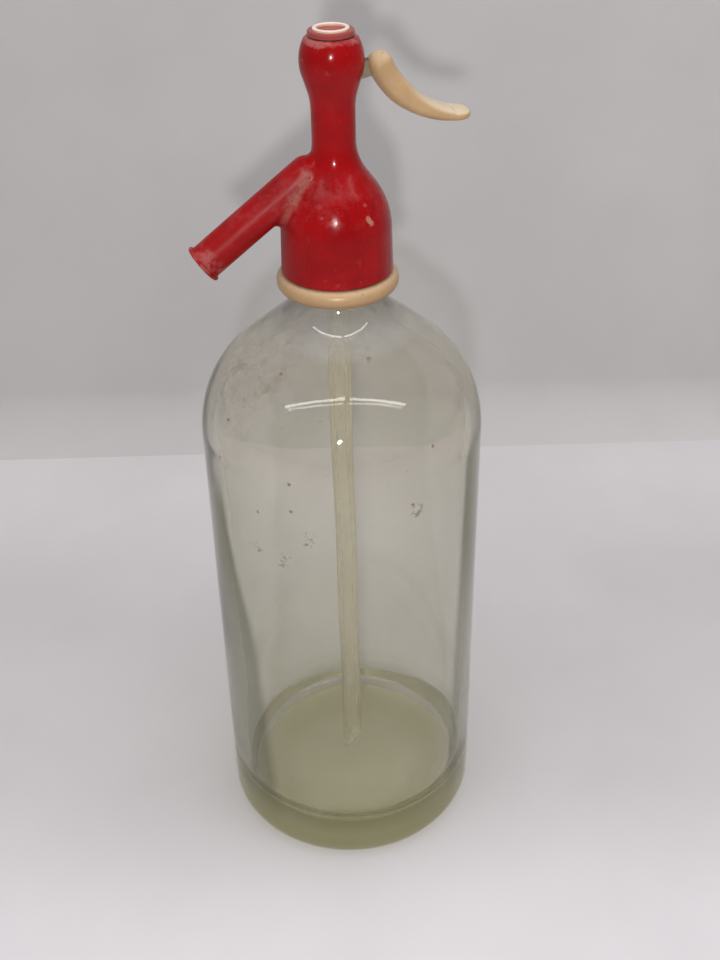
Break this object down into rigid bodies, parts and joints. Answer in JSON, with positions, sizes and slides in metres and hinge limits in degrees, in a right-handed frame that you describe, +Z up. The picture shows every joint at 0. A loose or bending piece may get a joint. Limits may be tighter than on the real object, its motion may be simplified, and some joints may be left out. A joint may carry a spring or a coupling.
{
  "type": "soda siphon",
  "caption": "Clear glass pressure bottle with a moulded head, slanting spout, curved side lever, spring-closed valve and central dip tube.",
  "frame": {"origin": "middle of the bottle's foot, on the surface it stands on", "axes": "+Z up along the bottle's axis, +X towards the lever, -X towards the spout"},
  "size_m": [0.1, 0.1, 0.3164],
  "materials": {
    "clear_glass": "thick clear glass, faintly green, slightly wavy",
    "ivory_plastic": "aged ivory, semi-gloss, worn",
    "red_plastic": "glossy deep red, scuffed",
    "tube_plastic": "translucent, yellowed",
    "white_plastic": "off-white",
    "rubber": "matte black",
    "brass": "turned, dull",
    "steel": "plated, dulled"
  },
  "bodies": {
    "siphon": {"glass_bottle": "clear_glass", "neck_ring": "ivory_plastic", "split_ring_left": "brass", "split_ring_right": "brass", "mouth_gasket": "rubber", "tube_holder": "white_plastic", "tube_seal": "rubber", "dip_tube": "tube_plastic", "head_shell": "red_plastic", "valve_seat": "brass", "seat_washer": "rubber", "stem_seal": "rubber", "gland_bush": "brass", "spring_washer": "steel", "cap_gasket": "rubber", "top_cap": "red_plastic", "cap_ring": "ivory_plastic", "lever_pin": "steel"},
    "lever": {"lever_arm": "steel", "lever_handle": "ivory_plastic"},
    "plunger": {"plunger_stem": "brass", "plunger_yoke": "brass", "valve_rubber": "rubber", "return_spring": "steel"}
  },
  "joints": [
    {"name": "lever_press", "type": "hinge", "parent": "siphon", "child": "lever", "pos_m": [0.0064, 0, 0.3025], "axis": [0, 1, 0], "range_deg": [0, 14], "stiffness_Nm_per_rad": 0.2, "springref_deg": -27.5},
    {"name": "plunger_lift", "type": "slide", "parent": "siphon", "child": "plunger", "axis": [0, 0, 1], "range_m": [0, 0.00156], "deforming": ["return_spring"]}
  ],
  "couplings": [
    {"joint": "plunger_lift", "follows": "lever_press", "m_per_rad": 0.0064}
  ]
}
